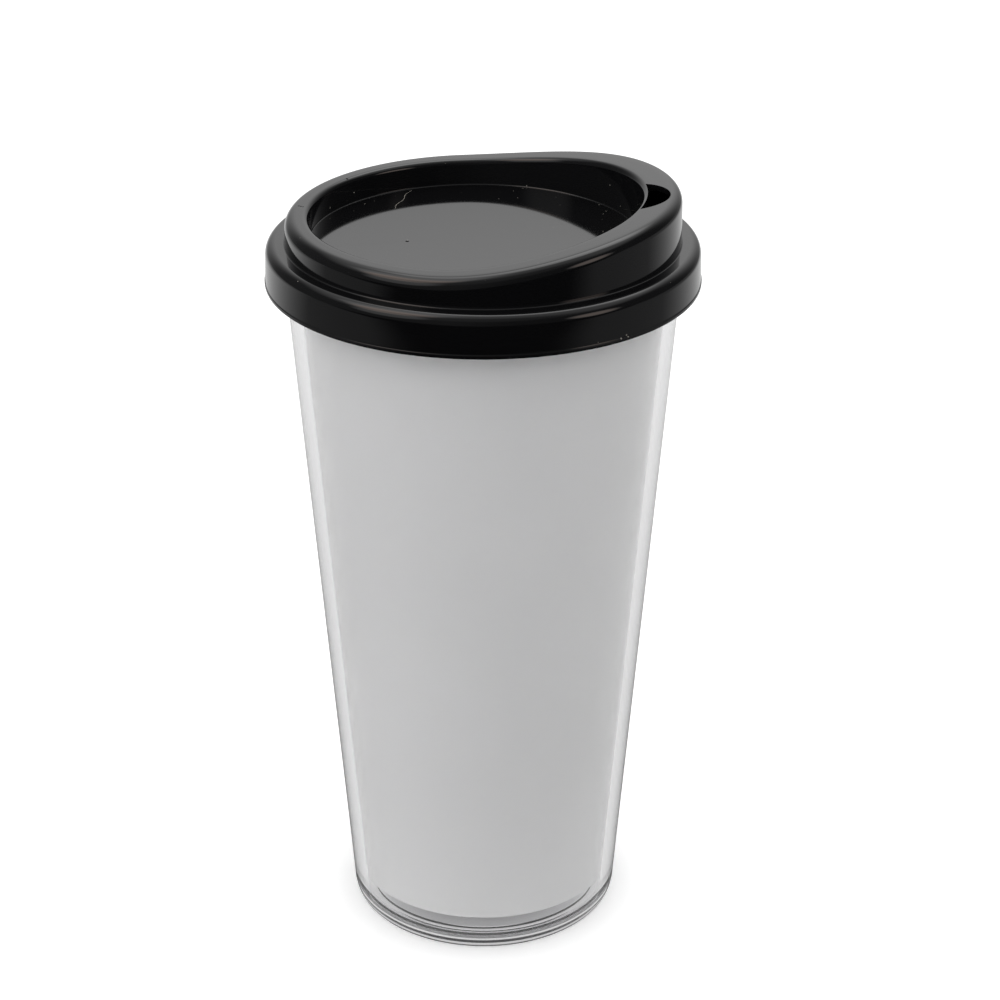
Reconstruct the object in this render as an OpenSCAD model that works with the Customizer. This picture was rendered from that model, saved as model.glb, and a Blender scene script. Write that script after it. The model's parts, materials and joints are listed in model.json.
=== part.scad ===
// Double-walled plastic tumbler with a white card sleeve between its walls and a black lift-off lid.
// Millimetres, +Z up. The origin is the centre of the foot, on the table. The spout points along +X.

/* [Cup] */
// Height of the cup's rim above the table
rim_h = 161.5; // [150:0.5:175]
// Outer radius of the clear shell at the table
shell_foot_r = 30.8; // [29.5:0.1:33]
// Outer radius of the clear shell at its top edge
shell_top_r = 42.9; // [42.2:0.1:43.3]
// Wall of the clear shell
shell_wall = 2.75; // [2:0.05:2.9]

/* [Base plug] */
// Thickness of the base plug's flange, which the shell stands on
flange_t = 3; // [2.4:0.1:4]
// Height of the plug's spigot above the flange, inside the shell
spigot_h = 1.3; // [1:0.05:3]
// Wall of the plug's spigot
spigot_wall = 1.6; // [1.2:0.1:2.4]
// Thickness of the plug's floor
plug_floor = 2.2; // [1.6:0.1:2.6]
// Rounding of the plug's lower outer edge
foot_round = 1.8; // [0.6:0.1:2.2]
// Width of the ring that the cup stands on
foot_ring_w = 3.4; // [2:0.1:6]

/* [Card sleeve] */
// Thickness of the card
card_t = 0.4; // [0.2:0.05:0.5]
// Height of the card's lower edge above the table
card_low_z = 8.2; // [7:0.1:14]
// Gap between the card's upper edge and the inner cup's locating rib
card_top_gap = 0.7; // [0.4:0.1:6]
// Width of the glued lap where the card's ends meet
card_lap = 9; // [5:0.5:16]
// Width of the slit between the card's ends in the outer layer
card_slit = 0.3; // [0.2:0.1:1]

/* [Inner cup] */
// Distance from the shell's outer face in to the inner cup's inner face at the mouth
mouth_inset = 5.3; // [5.1:0.1:6.4]
// Distance from the shell's outer face at the table in to the inner cup's inner face at its floor
floor_inset = 5.8; // [5.3:0.1:7.3]
// Height of the inner cup's floor above the table
cup_floor_z = 12; // [10:0.5:18]
// Wall of the inner cup
cup_wall = 1.2; // [1:0.1:1.4]
// Radius of the rounded corner between the inner cup's wall and floor
cup_corner_r = 5; // [3:0.5:9]
// Distance by which the rim flange stands out past the shell
rim_lip = 1.3; // [1:0.1:2]
// Thickness of the flange that sits on the shell
rim_step = 1.25; // [1:0.05:1.8]
// Height of the collar that the lid sits on, above the flange
collar_h = 1.85; // [1.5:0.05:2.6]
// Width of the collar
collar_w = 1.5; // [1.4:0.1:1.9]
// Height of the locating rib inside the shell
rib_h = 1.4; // [1:0.1:2.5]

/* [Lid] */
// Wall of the lid
lid_wall = 1.2; // [1:0.1:1.3]
// Thickness of the lid's ledge, which rests on the rim
ledge_t = 1.3; // [1.1:0.1:1.6]
// Amount by which the brim flares out towards its lower edge
brim_flare = 0.35; // [0.2:0.05:1]
// Height of the brim from its lower edge to the ledge
brim_h = 9; // [8:0.1:12]
// Rounding of the brim's shoulder
shoulder_round = 2.3; // [1.5:0.1:2.9]
// Rounding of the brim's lower edge
edge_round = 0.45; // [0.2:0.05:0.5]
// Distance by which the drinking ring stands out past the lid's spigot under it
ring_out = 0.05; // [0:0.05:0.2]
// Rounding at the foot of the drinking ring
ring_foot_round = 0.3; // [0.2:0.1:0.9]
// Inward lean of the ring's walls for each millimetre of height
draft = 0.01; // [0.005:0.005:0.03]
// Height of the drinking ring above the ledge on its low side
ring_low_h = 5.65; // [5:0.05:7]
// Extra height of the drinking ring at the spout
ring_rise = 5.8; // [2:0.05:8]
// Place along X where the ring starts to rise
rise_start = -10; // [-20:1:0]
// Length along X over which the ring rises
rise_run = 57; // [50:1:66]
// Rounding of the ring's outer edge
lip_round = 2.5; // [1:0.1:2.6]
// Rounding of the ring's inner edge
inner_round = 1.2; // [0.4:0.1:1.3]
// Width of the drinking ring at the recess floor, half-way between its low side and the spout
ring_w = 6.95; // [6.7:0.05:9]
// Distance by which the recess lies off centre, away from the spout
recess_off = 1.7; // [0.5:0.1:1.9]
// Height of the recess floor above the ledge
recess_rise = 0; // [0:0.1:1.5]
// Rounding between the recess's wall and floor
recess_round = 0.3; // [0.2:0.1:1]
// Thickness of the wall round the recess
recess_wall = 1; // [0.9:0.05:1.2]
// Radius of the arc that bounds the drink hole on its outer side
hole_arc_r = 8.8; // [7:0.1:10]
// Width of the drink hole along X
hole_w = 4.9; // [4.2:0.1:5.2]
// Diameter of the vent hole
vent_d = 0.8; // [0.6:0.1:1.5]
// Distance of the vent hole from the lid's centre, away from the spout
vent_x = 15.8; // [8:0.2:25]
// Sideways place of the vent hole
vent_y = -4.3; // [-8:0.1:8]

/* [Fits] */
// Gap between the base plug and the shell
plug_gap = 0.1; // [0.05:0.05:0.2]
// Gap between the card and the shell
card_gap = 0.1; // [0.05:0.05:0.2]
// Gap between the inner cup's locating rib and the shell
rib_gap = 0.15; // [0.1:0.05:0.3]
// Gap between the lid and the rim that it covers
lid_gap = 0.3; // [0.2:0.05:0.4]
// Gap between the rim flange and the brim above its bead
brim_gap = 1.25; // [0.6:0.05:1.4]

/* [Hidden] */
$fn = 96;

clear_grey = [0.86, 0.86, 0.88, 0.45];
card_white = "white";
liner_white = "whitesmoke";
lid_black = [0.06, 0.06, 0.06];

// Bevels and roundings of hidden or minor edges, and the extra reach of a cut past the face that it opens.
seam_bevel = 0.25;
lead_in = 0.3;
foot_ring_slope = 1;
rim_round = 0.6;
rib_taper = 1;
skirt_bevel = 0.6;
recess_bevel = 0.4;
foot_sink = 0.04;
bead_round = 0.7;
bead_drop = 1.2;
cut = 1;

shell_top_z = rim_h - collar_h - rim_step;
step_z = rim_h - collar_h;
rib_low_z = shell_top_z - rib_h;
rib_r = shell_in(rib_low_z) - rib_gap;
mouth_r = shell_top_r - mouth_inset;
cup_floor_r = shell_foot_r - floor_inset;
cup_slope = (mouth_r - cup_floor_r) / (step_z - cup_floor_z);

spigot_r = shell_in(flange_t) - plug_gap;
spigot_top_z = flange_t + spigot_h;
foot_ring_r = shell_r(0) - foot_round - foot_ring_w;

rim_r = shell_top_r + rim_lip;
ledge_z = rim_h + ledge_t;
brim_low_z = ledge_z - brim_h;
brim_top_r = rim_r + brim_gap + lid_wall;
brim_r = brim_top_r + brim_flare;
lid_spigot_r = rim_r - collar_w - lid_gap;
lid_spigot_low_z = step_z + lid_gap;
bead_r = rim_r + lid_gap;
bead_z = shell_top_z - bead_drop;
ring_r = lid_spigot_r + ring_out;
ring_in_r = ring_r - lid_wall;
recess_r = ring_r - ring_w;
floor_z = ledge_z + recess_rise;
floor_low_z = floor_z - lid_wall;
spout_top_z = ledge_z + ring_low_h + ring_rise;
hole_low_z = ledge_z + ring_low_h / 2;
hole_x = recess_wall_r(spout_top_z) + recess_wall - recess_off;

// Arc points from angle a0 to a1, with n steps, about the point (cx, cy).
function arc(cx, cy, r, a0, a1, n) =
    [for (i = [0:n]) let (a = a0 + (a1 - a0) * i / n) [cx + r * cos(a), cy + r * sin(a)]];

// The shell's outer and inner radius at height z.
function shell_r(z) = shell_foot_r + (shell_top_r - shell_foot_r) * z / shell_top_z;
function shell_in(z) = shell_r(z) - shell_wall;

// The inner cup's inner radius at height z.
function cup_in(z) = cup_floor_r + cup_slope * (z - cup_floor_z);

// A cone-shaped tube that follows the shell's inner face, set in by d_out and d_in.
module sleeve(z0, z1, d_out, d_in) {
    rotate_extrude()
        polygon([
            [shell_in(z0) - d_in, z0],
            [shell_in(z0) - d_out, z0],
            [shell_in(z1) - d_out, z1],
            [shell_in(z1) - d_in, z1]
        ]);
}

module base_plug() {
    color(clear_grey)
        rotate_extrude()
            polygon(concat(
                [[0, flange_t - plug_floor], [foot_ring_r - foot_ring_slope, flange_t - plug_floor]],
                [[foot_ring_r, 0]],
                arc(shell_r(0) - foot_round, foot_round, foot_round, -90, 0, 8),
                [[shell_r(flange_t), flange_t - seam_bevel], [shell_r(flange_t) - seam_bevel, flange_t]],
                [[spigot_r, flange_t], [spigot_r, spigot_top_z - lead_in]],
                [[spigot_r - lead_in, spigot_top_z], [spigot_r - spigot_wall, spigot_top_z]],
                [[spigot_r - spigot_wall, flange_t], [0, flange_t]]
            ));
}

module outer_shell() {
    color(clear_grey)
        rotate_extrude()
            polygon([
                [shell_in(flange_t), flange_t],
                [shell_r(flange_t) - seam_bevel, flange_t],
                [shell_r(flange_t + seam_bevel), flange_t + seam_bevel],
                [shell_top_r, shell_top_z],
                [shell_in(shell_top_z), shell_top_z]
            ]);
}

module card_insert() {
    card_top_z = rib_low_z - card_top_gap;
    color(card_white) {
        difference() {
            sleeve(card_low_z, card_top_z, card_gap, card_gap + card_t);
            translate([-card_slit / 2, 0, card_low_z - cut])
                cube([card_slit, shell_top_r, card_top_z - card_low_z + 2 * cut]);
        }
        intersection() {
            sleeve(card_low_z, card_top_z, card_gap + card_t, card_gap + 2 * card_t);
            translate([-card_lap / 2, 0, card_low_z - cut])
                cube([card_lap, shell_top_r, card_top_z - card_low_z + 2 * cut]);
        }
    }
}

module inner_cup() {
    corner_x = cup_in(cup_floor_z) - cup_corner_r;
    corner_z = cup_floor_z + cup_corner_r;
    outer_corner_r = cup_corner_r + cup_wall;
    color(liner_white)
        rotate_extrude()
            polygon(concat(
                [[0, cup_floor_z - cup_wall]],
                arc(corner_x, corner_z, outer_corner_r, -90, 0, 10),
                [[cup_in(rib_low_z - rib_taper) + cup_wall, rib_low_z - rib_taper], [rib_r, rib_low_z]],
                [[rib_r, shell_top_z], [rim_r, shell_top_z]],
                arc(rim_r - rim_round, rim_h - rim_round, rim_round, 0, 90, 6),
                [[rim_r - collar_w, rim_h], [rim_r - collar_w, step_z], [mouth_r, step_z]],
                arc(corner_x, corner_z, cup_corner_r, 0, -90, 10),
                [[0, cup_floor_z]]
            ));
}

// Height of the drinking ring's top at the place x: low, then an S-curve up to the spout.
function ring_top(x) =
    let (u = min(1, max(0, (x - rise_start) / rise_run)))
    ledge_z + ring_low_h + ring_rise * (1 - cos(180 * u)) / 2;

// Radius of the ring's outer wall, and of the recess's wall, at height z.
function ring_wall_r(z) = ring_r - draft * (z - ledge_z);
function recess_wall_r(z) = recess_r + draft * (z - floor_z);

// A point at angle t and radius r about a centre moved off by e, dropped by d below the ring's top.
function lip_point(t, r, e, d) =
    let (x = r * cos(t) - e)
    [x, r * sin(t), ring_top(x) - d];
function level_point(t, r, e, z) = [r * cos(t) - e, r * sin(t), z];

// The outside of the section at angle t: from inside the ledge over the ring's top to the recess floor.
function outside(t) =
    let (
        top = ring_top(ring_r * cos(t)),
        outer = ring_wall_r(top),
        inner = recess_wall_r(top),
        e = recess_off,
        foot = ledge_z - foot_sink
    )
    concat(
        [level_point(t, ring_r + ring_foot_round, 0, ledge_z - ledge_t / 2)],
        [for (a = [90:-18:0])
            level_point(t, ring_r + ring_foot_round * (1 - cos(a)), 0, foot + ring_foot_round * (1 - sin(a)))
        ],
        [for (a = [0:15:90])
            lip_point(t, outer - lip_round * (1 - cos(a)), 0, lip_round * (1 - sin(a)))],
        [lip_point(t, (outer + inner) / 2, e / 2, 0)],
        [for (a = [90:-18:0])
            lip_point(t, inner + inner_round * (1 - cos(a)), e, inner_round * (1 - sin(a)))],
        [for (a = [0:-30:-90])
            level_point(t, recess_r - recess_round * (1 - cos(a)), e, floor_z + recess_round * (1 + sin(a)))]
    );

// The inside of the section at angle t: from under the recess floor, up into the hollow ring and down again.
function inside(t) =
    let (
        top = ring_top(ring_r * cos(t)),
        outer = ring_wall_r(top) - lid_wall,
        inner = recess_wall_r(top) + recess_wall,
        e = recess_off,
        under = lid_wall + inner_round
    )
    [
        level_point(t, recess_r + recess_wall - recess_bevel, e, floor_low_z),
        level_point(t, recess_r + recess_wall, e, floor_low_z + recess_bevel),
        lip_point(t, inner, e, under),
        lip_point(t, inner + inner_round, e, lid_wall),
        lip_point(t, outer - inner_round, 0, lid_wall),
        lip_point(t, outer, 0, under),
        level_point(t, ring_in_r - foot_sink, 0, ledge_z - ledge_t / 2)
    ];

// The hollow drinking ring with the recess inside it: its section carried once round the lid, the floor
// closed by a fan of triangles above and below.
module ring_and_recess() {
    steps = 72;
    sections = [for (i = [0:steps - 1]) concat(outside(360 * i / steps), inside(360 * i / steps))];
    n = len(sections[0]);
    floor_j = len(outside(0)) - 1;
    top_centre = steps * n;
    low_centre = top_centre + 1;
    points = concat([for (s = sections) each s], [[-recess_off, 0, floor_z], [-recess_off, 0, floor_low_z]]);
    faces = [for (i = [0:steps - 1]) for (j = [0:n - 1])
        let (k = (i + 1) % steps, j2 = (j + 1) % n)
        each j == floor_j
            ? [[i * n + j, top_centre, k * n + j], [i * n + j2, k * n + j2, low_centre]]
            : [[i * n + j, i * n + j2, k * n + j2], [i * n + j, k * n + j2, k * n + j]]];
    polyhedron(points, faces, convexity = 6);
}

// Radius of the brim's inner face at height z.
function skirt_in(z) =
    brim_top_r - lid_wall + brim_flare * (ledge_z - shoulder_round - z) / (brim_h - shoulder_round);

// The brim, its ledge and the spigot that enters the rim, as one turned profile.
module brim() {
    rotate_extrude()
        polygon(concat(
            [[ring_in_r, lid_spigot_low_z], [lid_spigot_r, lid_spigot_low_z]],
            [[lid_spigot_r, rim_h], [skirt_in(rim_h) - skirt_bevel, rim_h]],
            [[skirt_in(rim_h - skirt_bevel), rim_h - skirt_bevel]],
            [[skirt_in(bead_z + bead_round), bead_z + bead_round]],
            arc(bead_r + bead_round, bead_z, bead_round, 90, 270, 8),
            [[skirt_in(bead_z - bead_round), bead_z - bead_round]],
            [[skirt_in(brim_low_z + lead_in), brim_low_z + lead_in]],
            [[skirt_in(brim_low_z) + lead_in, brim_low_z]],
            arc(brim_r - edge_round, brim_low_z + edge_round, edge_round, -90, 0, 6),
            arc(brim_top_r - shoulder_round, ledge_z - shoulder_round, shoulder_round, 0, 90, 10),
            [[ring_in_r, ledge_z]]
        ));
}

module lid() {
    color(lid_black)
        difference() {
            union() {
                brim();
                ring_and_recess();
            }
            difference() {
                translate([hole_x + hole_w - hole_arc_r, 0, hole_low_z])
                    cylinder(r = hole_arc_r, h = spout_top_z + cut - hole_low_z);
                translate([-recess_off, 0, hole_low_z - cut])
                    cylinder(r = hole_x + recess_off, h = spout_top_z + 3 * cut - hole_low_z);
            }
            translate([-vent_x, vent_y, floor_low_z - cut])
                cylinder(d = vent_d, h = lid_wall + 2 * cut);
        }
}

base_plug();
outer_shell();
card_insert();
inner_cup();
lid();
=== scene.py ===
import json
import math

import bpy
from mathutils import Matrix, Vector

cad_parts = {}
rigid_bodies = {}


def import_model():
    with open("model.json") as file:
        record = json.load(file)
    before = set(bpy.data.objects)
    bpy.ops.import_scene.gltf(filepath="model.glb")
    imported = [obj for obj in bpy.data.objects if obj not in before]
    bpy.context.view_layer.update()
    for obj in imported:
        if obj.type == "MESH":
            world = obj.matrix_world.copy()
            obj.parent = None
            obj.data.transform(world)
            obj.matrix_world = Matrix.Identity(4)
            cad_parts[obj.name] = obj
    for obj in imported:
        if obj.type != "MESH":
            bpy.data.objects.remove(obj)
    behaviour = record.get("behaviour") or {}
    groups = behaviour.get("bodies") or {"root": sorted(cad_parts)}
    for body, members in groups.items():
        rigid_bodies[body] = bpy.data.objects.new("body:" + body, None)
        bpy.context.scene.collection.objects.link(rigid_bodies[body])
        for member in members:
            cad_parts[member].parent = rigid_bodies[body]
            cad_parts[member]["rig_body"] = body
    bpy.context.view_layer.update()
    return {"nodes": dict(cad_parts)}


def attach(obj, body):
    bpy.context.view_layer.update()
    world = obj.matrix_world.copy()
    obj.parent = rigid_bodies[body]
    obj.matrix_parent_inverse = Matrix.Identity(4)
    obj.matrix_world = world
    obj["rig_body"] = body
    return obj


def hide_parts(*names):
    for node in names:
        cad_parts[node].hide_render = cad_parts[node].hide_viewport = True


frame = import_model()

MM = 0.001

# Sizes of the cup in millimetres, as in the solid model.
RIM_H = 161.5
SHELL_FOOT_R = 30.8
SHELL_TOP_R = 42.9
SHELL_WALL = 2.75
FLANGE_T = 3.0
SPIGOT_H = 1.3
SPIGOT_WALL = 1.6
PLUG_FLOOR = 2.2
FOOT_ROUND = 1.8
FOOT_RING_W = 3.4
FOOT_RING_SLOPE = 1.0
SEAM_BEVEL = 0.25
PLUG_GAP = 0.1
CARD_T = 0.4
CARD_LOW_Z = 8.2
CARD_TOP_GAP = 0.7
CARD_LAP = 9.0
CARD_GAP = 0.1
CARD_SLIT = 0.3
RIM_STEP = 1.25
COLLAR_H = 1.85
COLLAR_W = 1.5
RIM_R = 44.2
RIM_ROUND = 0.6
RIB_H = 1.4
RIB_TAPER = 1.0
RIB_GAP = 0.15
MOUTH_R = 37.6
CUP_FLOOR_R = 25.0
CUP_FLOOR_Z = 12.0
CUP_WALL = 1.2
CUP_CORNER_R = 5.0

# Sizes of the lid.
LID_WALL = 1.2
LEDGE_T = 1.3
BRIM_R = 47.0
BRIM_FLARE = 0.35
BRIM_H = 9.0
SHOULDER_ROUND = 2.3
EDGE_ROUND = 0.45
RING_R = 42.45
RING_FOOT_ROUND = 0.3
DRAFT = 0.01
RING_LOW_H = 5.65
RING_RISE = 5.796
RISE_START = -10.0
RISE_RUN = 57.0
LIP_ROUND = 2.5
INNER_ROUND = 1.2
RECESS_R = 35.5
RECESS_OFF = 1.7
RECESS_ROUND = 0.3
RECESS_WALL = 1.0
RECESS_BEVEL = 0.4
HOLE_ARC_R = 8.8
HOLE_W = 4.9
VENT_D = 0.8
VENT_X = -15.8
VENT_Y = -4.3
LID_GAP = 0.3
SKIRT_BEVEL = 0.6
BEAD_ROUND = 0.7
BEAD_DROP = 1.2
LEAD_IN = 0.3
STEP_H = 0.95
STEP_W = 0.16
STEP_ROUND = 0.14
STEP_LOOPS = (0.1, 0.2, 0.4)

# Heights and radii that follow from them.
STEP_Z = RIM_H - COLLAR_H
SHELL_TOP_Z = STEP_Z - RIM_STEP
RIB_LOW_Z = SHELL_TOP_Z - RIB_H
LEDGE_Z = RIM_H + LEDGE_T
BRIM_LOW_Z = LEDGE_Z - BRIM_H
BRIM_TOP_R = BRIM_R - BRIM_FLARE
RING_IN_R = RING_R - LID_WALL
FLOOR_Z = LEDGE_Z
FLOOR_LOW_Z = FLOOR_Z - LID_WALL
LOW_TOP_Z = LEDGE_Z + RING_LOW_H
SPOUT_TOP_Z = LOW_TOP_Z + RING_RISE
BEAD_R = RIM_R + LID_GAP
BEAD_Z = SHELL_TOP_Z - BEAD_DROP
HOLE_X = RECESS_R + DRAFT * (SPOUT_TOP_Z - FLOOR_Z) + RECESS_WALL - RECESS_OFF

TURN_STEPS = 256
HOLE_SIDES = 96
RECESS_SIDES = 360
VENT_SIDES = 24
CUT_PAST = 1.0
SMOOTH_ANGLE = math.radians(32)


def shell_r(z):
    return SHELL_FOOT_R + (SHELL_TOP_R - SHELL_FOOT_R) * z / SHELL_TOP_Z


def shell_in(z):
    return shell_r(z) - SHELL_WALL


def cup_in(z):
    return CUP_FLOOR_R + (MOUTH_R - CUP_FLOOR_R) * (z - CUP_FLOOR_Z) / (STEP_Z - CUP_FLOOR_Z)


def skirt_in(z):
    top = LEDGE_Z - SHOULDER_ROUND
    return BRIM_TOP_R - LID_WALL + BRIM_FLARE * (top - z) / (BRIM_H - SHOULDER_ROUND)


def arc(x, z, r, first, last, steps):
    """Points of an arc about (x, z), from the angle first to last in degrees."""
    angles = [math.radians(first + (last - first) * i / steps) for i in range(steps + 1)]
    return [(x + r * math.cos(a), z + r * math.sin(a)) for a in angles]


# Modelling helpers: each works as a hand would, on what is selected.
def deselect_all():
    bpy.ops.object.select_all(action="DESELECT")


def select_only(piece):
    deselect_all()
    piece.select_set(True)
    bpy.context.view_layer.objects.active = piece


def edit(piece):
    select_only(piece)
    bpy.ops.object.mode_set(mode="EDIT")


def stop_editing():
    bpy.ops.object.mode_set(mode="OBJECT")


def apply_modifiers(piece):
    select_only(piece)
    for modifier in list(piece.modifiers):
        bpy.ops.object.modifier_apply(modifier=modifier.name)


def smooth(piece):
    select_only(piece)
    bpy.ops.object.shade_smooth_by_angle(angle=SMOOTH_ANGLE)


def turned(name, profile):
    """A piece turned about the Z axis from (radius, height) points in millimetres.

    A profile that starts off the axis is closed from its last point to its first."""
    deselect_all()
    x, z = profile[0]
    bpy.ops.mesh.primitive_plane_add(size=MM, location=(0, 0, 0))
    piece = bpy.context.object
    piece.name = name
    piece.data.name = name
    bpy.ops.object.mode_set(mode="EDIT")
    bpy.ops.mesh.select_all(action="SELECT")
    bpy.ops.mesh.merge(type="CENTER")
    bpy.ops.transform.translate(value=(x * MM, 0, z * MM))
    for (x0, z0), (x1, z1) in zip(profile, profile[1:]):
        step = ((x1 - x0) * MM, 0, (z1 - z0) * MM)
        bpy.ops.mesh.extrude_vertices_move(TRANSFORM_OT_translate={"value": step})
    if x > 0:
        bpy.ops.mesh.select_all(action="DESELECT")
        stop_editing()
        for end in (0, len(profile) - 1):
            piece.data.vertices[end].select = True
        edit(piece)
        bpy.ops.mesh.edge_face_add()
    bpy.ops.mesh.select_all(action="SELECT")
    bpy.ops.mesh.spin(steps=TURN_STEPS, angle=2 * math.pi, center=(0, 0, 0), axis=(0, 0, 1))
    bpy.ops.mesh.select_all(action="SELECT")
    bpy.ops.mesh.remove_doubles(threshold=0.0005 * MM)
    bpy.ops.mesh.normals_make_consistent(inside=False)
    stop_editing()
    return piece


def cut(piece, cutter, operation="DIFFERENCE"):
    modifier = piece.modifiers.new("cut", "BOOLEAN")
    modifier.operation = operation
    modifier.solver = "EXACT"
    modifier.object = cutter
    apply_modifiers(piece)
    bpy.data.objects.remove(cutter)


def finished_cutter(name):
    cutter = bpy.context.object
    cutter.name = name
    bpy.ops.object.transform_apply(location=True, rotation=True, scale=True)
    return cutter


def round_bar(name, r, low, high, x, y, sides):
    deselect_all()
    bpy.ops.mesh.primitive_cylinder_add(
        vertices=sides, radius=r * MM, depth=(high - low) * MM, location=(x * MM, y * MM, (low + high) / 2 * MM)
    )
    return finished_cutter(name)


def block(name, size, centre):
    deselect_all()
    bpy.ops.mesh.primitive_cube_add(size=MM, location=[c * MM for c in centre])
    bpy.context.object.scale = size
    return finished_cutter(name)


def stand_for(piece, node, material):
    """The piece takes the place and the body of a node of the solid model, hides the node and gets the given
    material.
    """
    piece.data.materials.clear()
    piece.data.materials.append(material)
    smooth(piece)
    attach(piece, frame["nodes"][node]["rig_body"])
    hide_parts(node)


# Material helpers.
VECTOR = "NodeSocketVector"
VALUE = "NodeSocketFloat"


def add_node(tree, kind, place, values=None, **settings):
    made = tree.nodes.new(kind)
    made.location = place
    for key, value in settings.items():
        setattr(made, key, value)
    for key, value in (values or {}).items():
        made.inputs[key].default_value = value
    return made


def new_material(name, **values):
    material = bpy.data.materials.new(name)
    material.use_nodes = True
    tree = material.node_tree
    shader = tree.nodes["Principled BSDF"]
    for key, value in values.items():
        shader.inputs[key.replace("_", " ")].default_value = value
    coords = add_node(tree, "ShaderNodeTexCoord", (-1200, 0))
    return material, tree, shader, coords.outputs["Object"]


def new_group(name, inputs, outputs):
    group = bpy.data.node_groups.new(name, "ShaderNodeTree")
    for label, kind, value in inputs:
        socket = group.interface.new_socket(label, in_out="INPUT", socket_type=kind)
        if value is not None:
            socket.default_value = value
    for label, kind in outputs:
        group.interface.new_socket(label, in_out="OUTPUT", socket_type=kind)
    ends = add_node(group, "NodeGroupInput", (-900, 0)), add_node(group, "NodeGroupOutput", (600, 0))
    return group, ends[0].outputs, ends[1].inputs


def place_group(tree, group, place, values=None):
    made = add_node(tree, "ShaderNodeGroup", place)
    made.node_tree = group
    for key, value in (values or {}).items():
        made.inputs[key].default_value = value
    return made


def scratch_group():
    """Fine straight scratches in two directions, as a mask from 0 to 1."""
    group, given, out = new_group(
        "fine_scratches",
        [("Position", VECTOR, None), ("Scale", VALUE, 120.0), ("Share", VALUE, 0.1)],
        [("Mask", VALUE)],
    )
    masks = []
    for row, turn in enumerate((0.5, -0.9)):
        y = -300 * row
        turned_coords = add_node(group, "ShaderNodeMapping", (-700, y))
        turned_coords.inputs["Rotation"].default_value = (0.3, 0.2, turn)
        turned_coords.inputs["Scale"].default_value = (1.0, 0.03, 1.0)
        noise = add_node(group, "ShaderNodeTexNoise", (-480, y), {"Detail": 4.0, "Roughness": 0.7})
        limit = add_node(group, "ShaderNodeMath", (-260, y - 160), operation="SUBTRACT")
        limit.inputs[0].default_value = 0.78
        edge = add_node(group, "ShaderNodeMapRange", (-60, y), {"To Min": 0.0, "To Max": 1.0, "From Max": 0.85})
        group.links.new(given["Position"], turned_coords.inputs["Vector"])
        group.links.new(turned_coords.outputs["Vector"], noise.inputs["Vector"])
        group.links.new(given["Scale"], noise.inputs["Scale"])
        group.links.new(given["Share"], limit.inputs[1])
        group.links.new(noise.outputs["Fac"], edge.inputs["Value"])
        group.links.new(limit.outputs[0], edge.inputs["From Min"])
        masks.append(edge.outputs["Result"])
    both = add_node(group, "ShaderNodeMath", (240, 0), operation="MAXIMUM")
    group.links.new(masks[0], both.inputs[0])
    group.links.new(masks[1], both.inputs[1])
    group.links.new(both.outputs[0], out["Mask"])
    return group


def dust_group():
    """Small specks of dust that lie on faces that look up, as a mask from 0 to 1."""
    group, given, out = new_group(
        "settled_dust",
        [("Position", VECTOR, None), ("Scale", VALUE, 900.0), ("Speck", VALUE, 0.12)],
        [("Mask", VALUE)],
    )
    cells = add_node(group, "ShaderNodeTexVoronoi", (-700, 0), {"Randomness": 1.0})
    size = add_node(group, "ShaderNodeMapRange", (-460, 0), {"To Min": 1.0, "To Max": 0.0})
    rare = add_node(group, "ShaderNodeMath", (-460, -260), operation="GREATER_THAN")
    rare.inputs[1].default_value = 0.9
    split = add_node(group, "ShaderNodeSeparateColor", (-620, -260))
    geometry = add_node(group, "ShaderNodeNewGeometry", (-700, -480))
    normal = add_node(group, "ShaderNodeSeparateXYZ", (-520, -480))
    up = add_node(group, "ShaderNodeMapRange", (-300, -480), {"From Min": 0.3, "From Max": 0.9})
    speck = add_node(group, "ShaderNodeMath", (-200, 0), operation="MULTIPLY")
    settled = add_node(group, "ShaderNodeMath", (60, 0), operation="MULTIPLY")
    group.links.new(given["Position"], cells.inputs["Vector"])
    group.links.new(given["Scale"], cells.inputs["Scale"])
    group.links.new(cells.outputs["Distance"], size.inputs["Value"])
    group.links.new(given["Speck"], size.inputs["From Max"])
    group.links.new(cells.outputs["Color"], split.inputs["Color"])
    group.links.new(split.outputs["Red"], rare.inputs[0])
    group.links.new(geometry.outputs["Normal"], normal.inputs["Vector"])
    group.links.new(normal.outputs["Z"], up.inputs["Value"])
    group.links.new(size.outputs["Result"], speck.inputs[0])
    group.links.new(rare.outputs[0], speck.inputs[1])
    group.links.new(speck.outputs[0], settled.inputs[0])
    group.links.new(up.outputs["Result"], settled.inputs[1])
    group.links.new(settled.outputs[0], out["Mask"])
    return group


# Specks of dust and small scuffs on the lid, and the pits in its top, each as (x, y, z, radius) in millimetres.
SPECKS = (
    (4.7, 33.7, 162.8, 0.13), (5.5, 34.8, 163.1, 0.13), (4.3, 27.1, 162.8, 0.12), (25.2, 23.2, 167.9, 0.14),
    (22.8, 24.7, 162.8, 0.16), (24.7, 20.5, 162.8, 0.16), (27.9, 19.6, 164.4, 0.12), (25.1, 7.2, 162.8, 0.13),
    (0.2, 25.9, 162.8, 0.11), (2.8, 31.8, 162.8, 0.11), (-31.4, 19.5, 165.1, 0.15), (-35.3, 11.4, 164.1, 0.16),
    (-28.9, 18.7, 162.8, 0.14), (-37.2, -0.8, 166.2, 0.14), (24.2, 18.6, 162.8, 0.11), (-34.5, -29.9, 162.4, 0.12),
    (32.5, -34.0, 154.8, 0.22), (33.5, -32.9, 155.1, 0.20), (33.8, -32.7, 154.7, 0.18), (33.0, -33.5, 155.3, 0.14),
    (30.4, -35.9, 155.1, 0.12), (28.1, -37.6, 155.1, 0.12), (-15.8, -3.6, 162.8, 0.14),
)
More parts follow.
